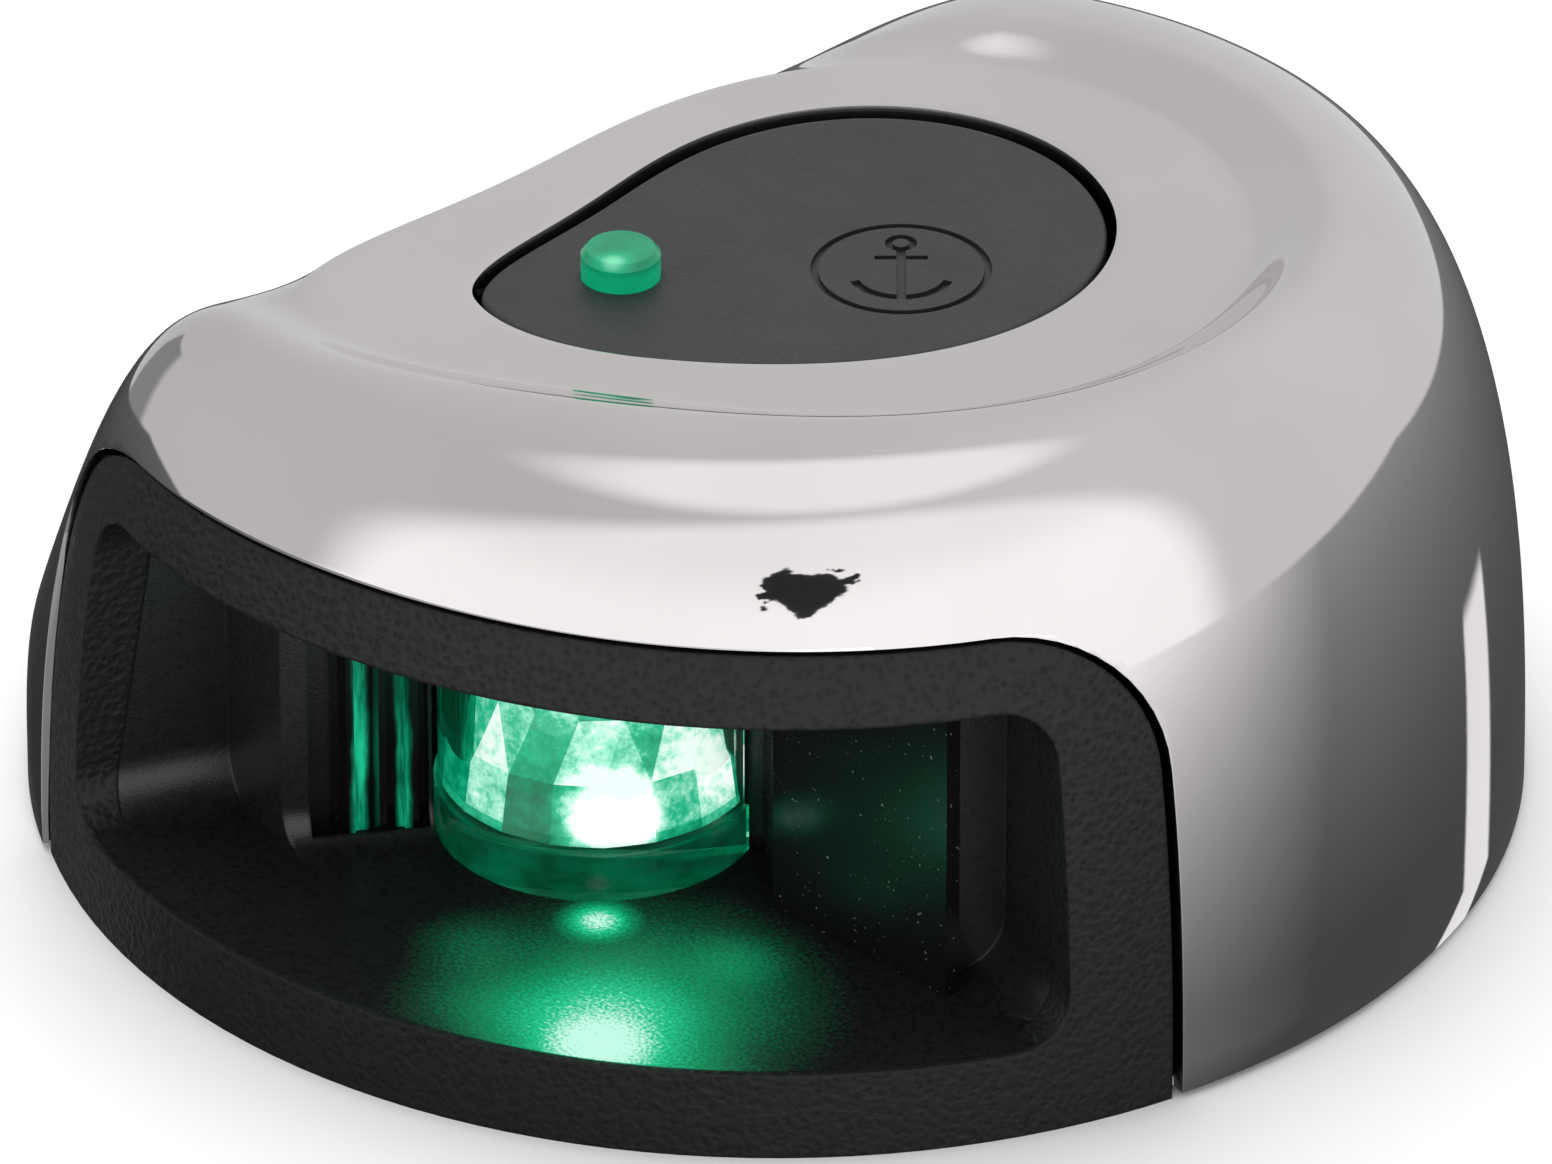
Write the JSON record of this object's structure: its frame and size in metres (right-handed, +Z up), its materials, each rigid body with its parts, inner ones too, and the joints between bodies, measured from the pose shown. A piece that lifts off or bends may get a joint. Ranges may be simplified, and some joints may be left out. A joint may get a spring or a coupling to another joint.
{
  "type": "navigation light",
  "caption": "Low round starboard sidelight: polished steel cover over a black moulded base, with a screened side window, upright clear lens and a small tell-tale on top.",
  "frame": {"origin": "centre of the round base, on the deck surface", "axes": "+X dead ahead, +Y to port (inboard), +Z up; the light faces the starboard bow at 56.25 degrees from dead ahead"},
  "size_m": [0.08, 0.0797, 0.0359],
  "materials": {
    "polished_steel": "mirror polished stainless steel",
    "stainless": "plain stainless fixings",
    "black_moulding": "black glass-filled nylon with a fine leather grain",
    "badge_black": "dark grey, fine sand texture",
    "gloss_black": "glossy black",
    "satin_black": "satin black",
    "telltale_green": "translucent green acrylic",
    "clear": "clear acrylic",
    "black_rubber": "moulded elastomer",
    "board_green": "solder-masked circuit board",
    "led_white": "white ceramic package",
    "aluminium": "plain aluminium",
    "component_black": "moulded electronic packages"
  },
  "bodies": {
    "base": {"cover_springs": "stainless", "spring_screws": "stainless", "plate_screws": "stainless", "driver_screws": "stainless", "board_screws": "stainless", "housing": "black_moulding", "base_plate": "black_moulding", "pipe_holder": "black_moulding", "badge": "badge_black", "forward_screen": "gloss_black", "aft_baffle": "satin_black", "light_pipe": "telltale_green", "lens": "clear", "optic": "clear", "lens_gasket": "black_rubber", "deck_gasket": "black_rubber", "plate_seal": "black_rubber", "cable_gland": "black_rubber", "badge_tape": "black_rubber", "light_board": "board_green", "driver_board": "board_green", "telltale_board": "board_green", "emitter": "led_white", "telltale_led": "led_white", "heat_sink": "aluminium", "capacitor": "aluminium", "driver_chip": "component_black", "choke": "component_black", "reverse_diode": "component_black", "resistors": "component_black"},
    "cover": {"cover": "polished_steel"}
  },
  "joints": [
    {"name": "cover_lift", "type": "slide", "parent": "base", "child": "cover", "axis": [0, 0, 1], "range_m": [0, 0.045]}
  ]
}
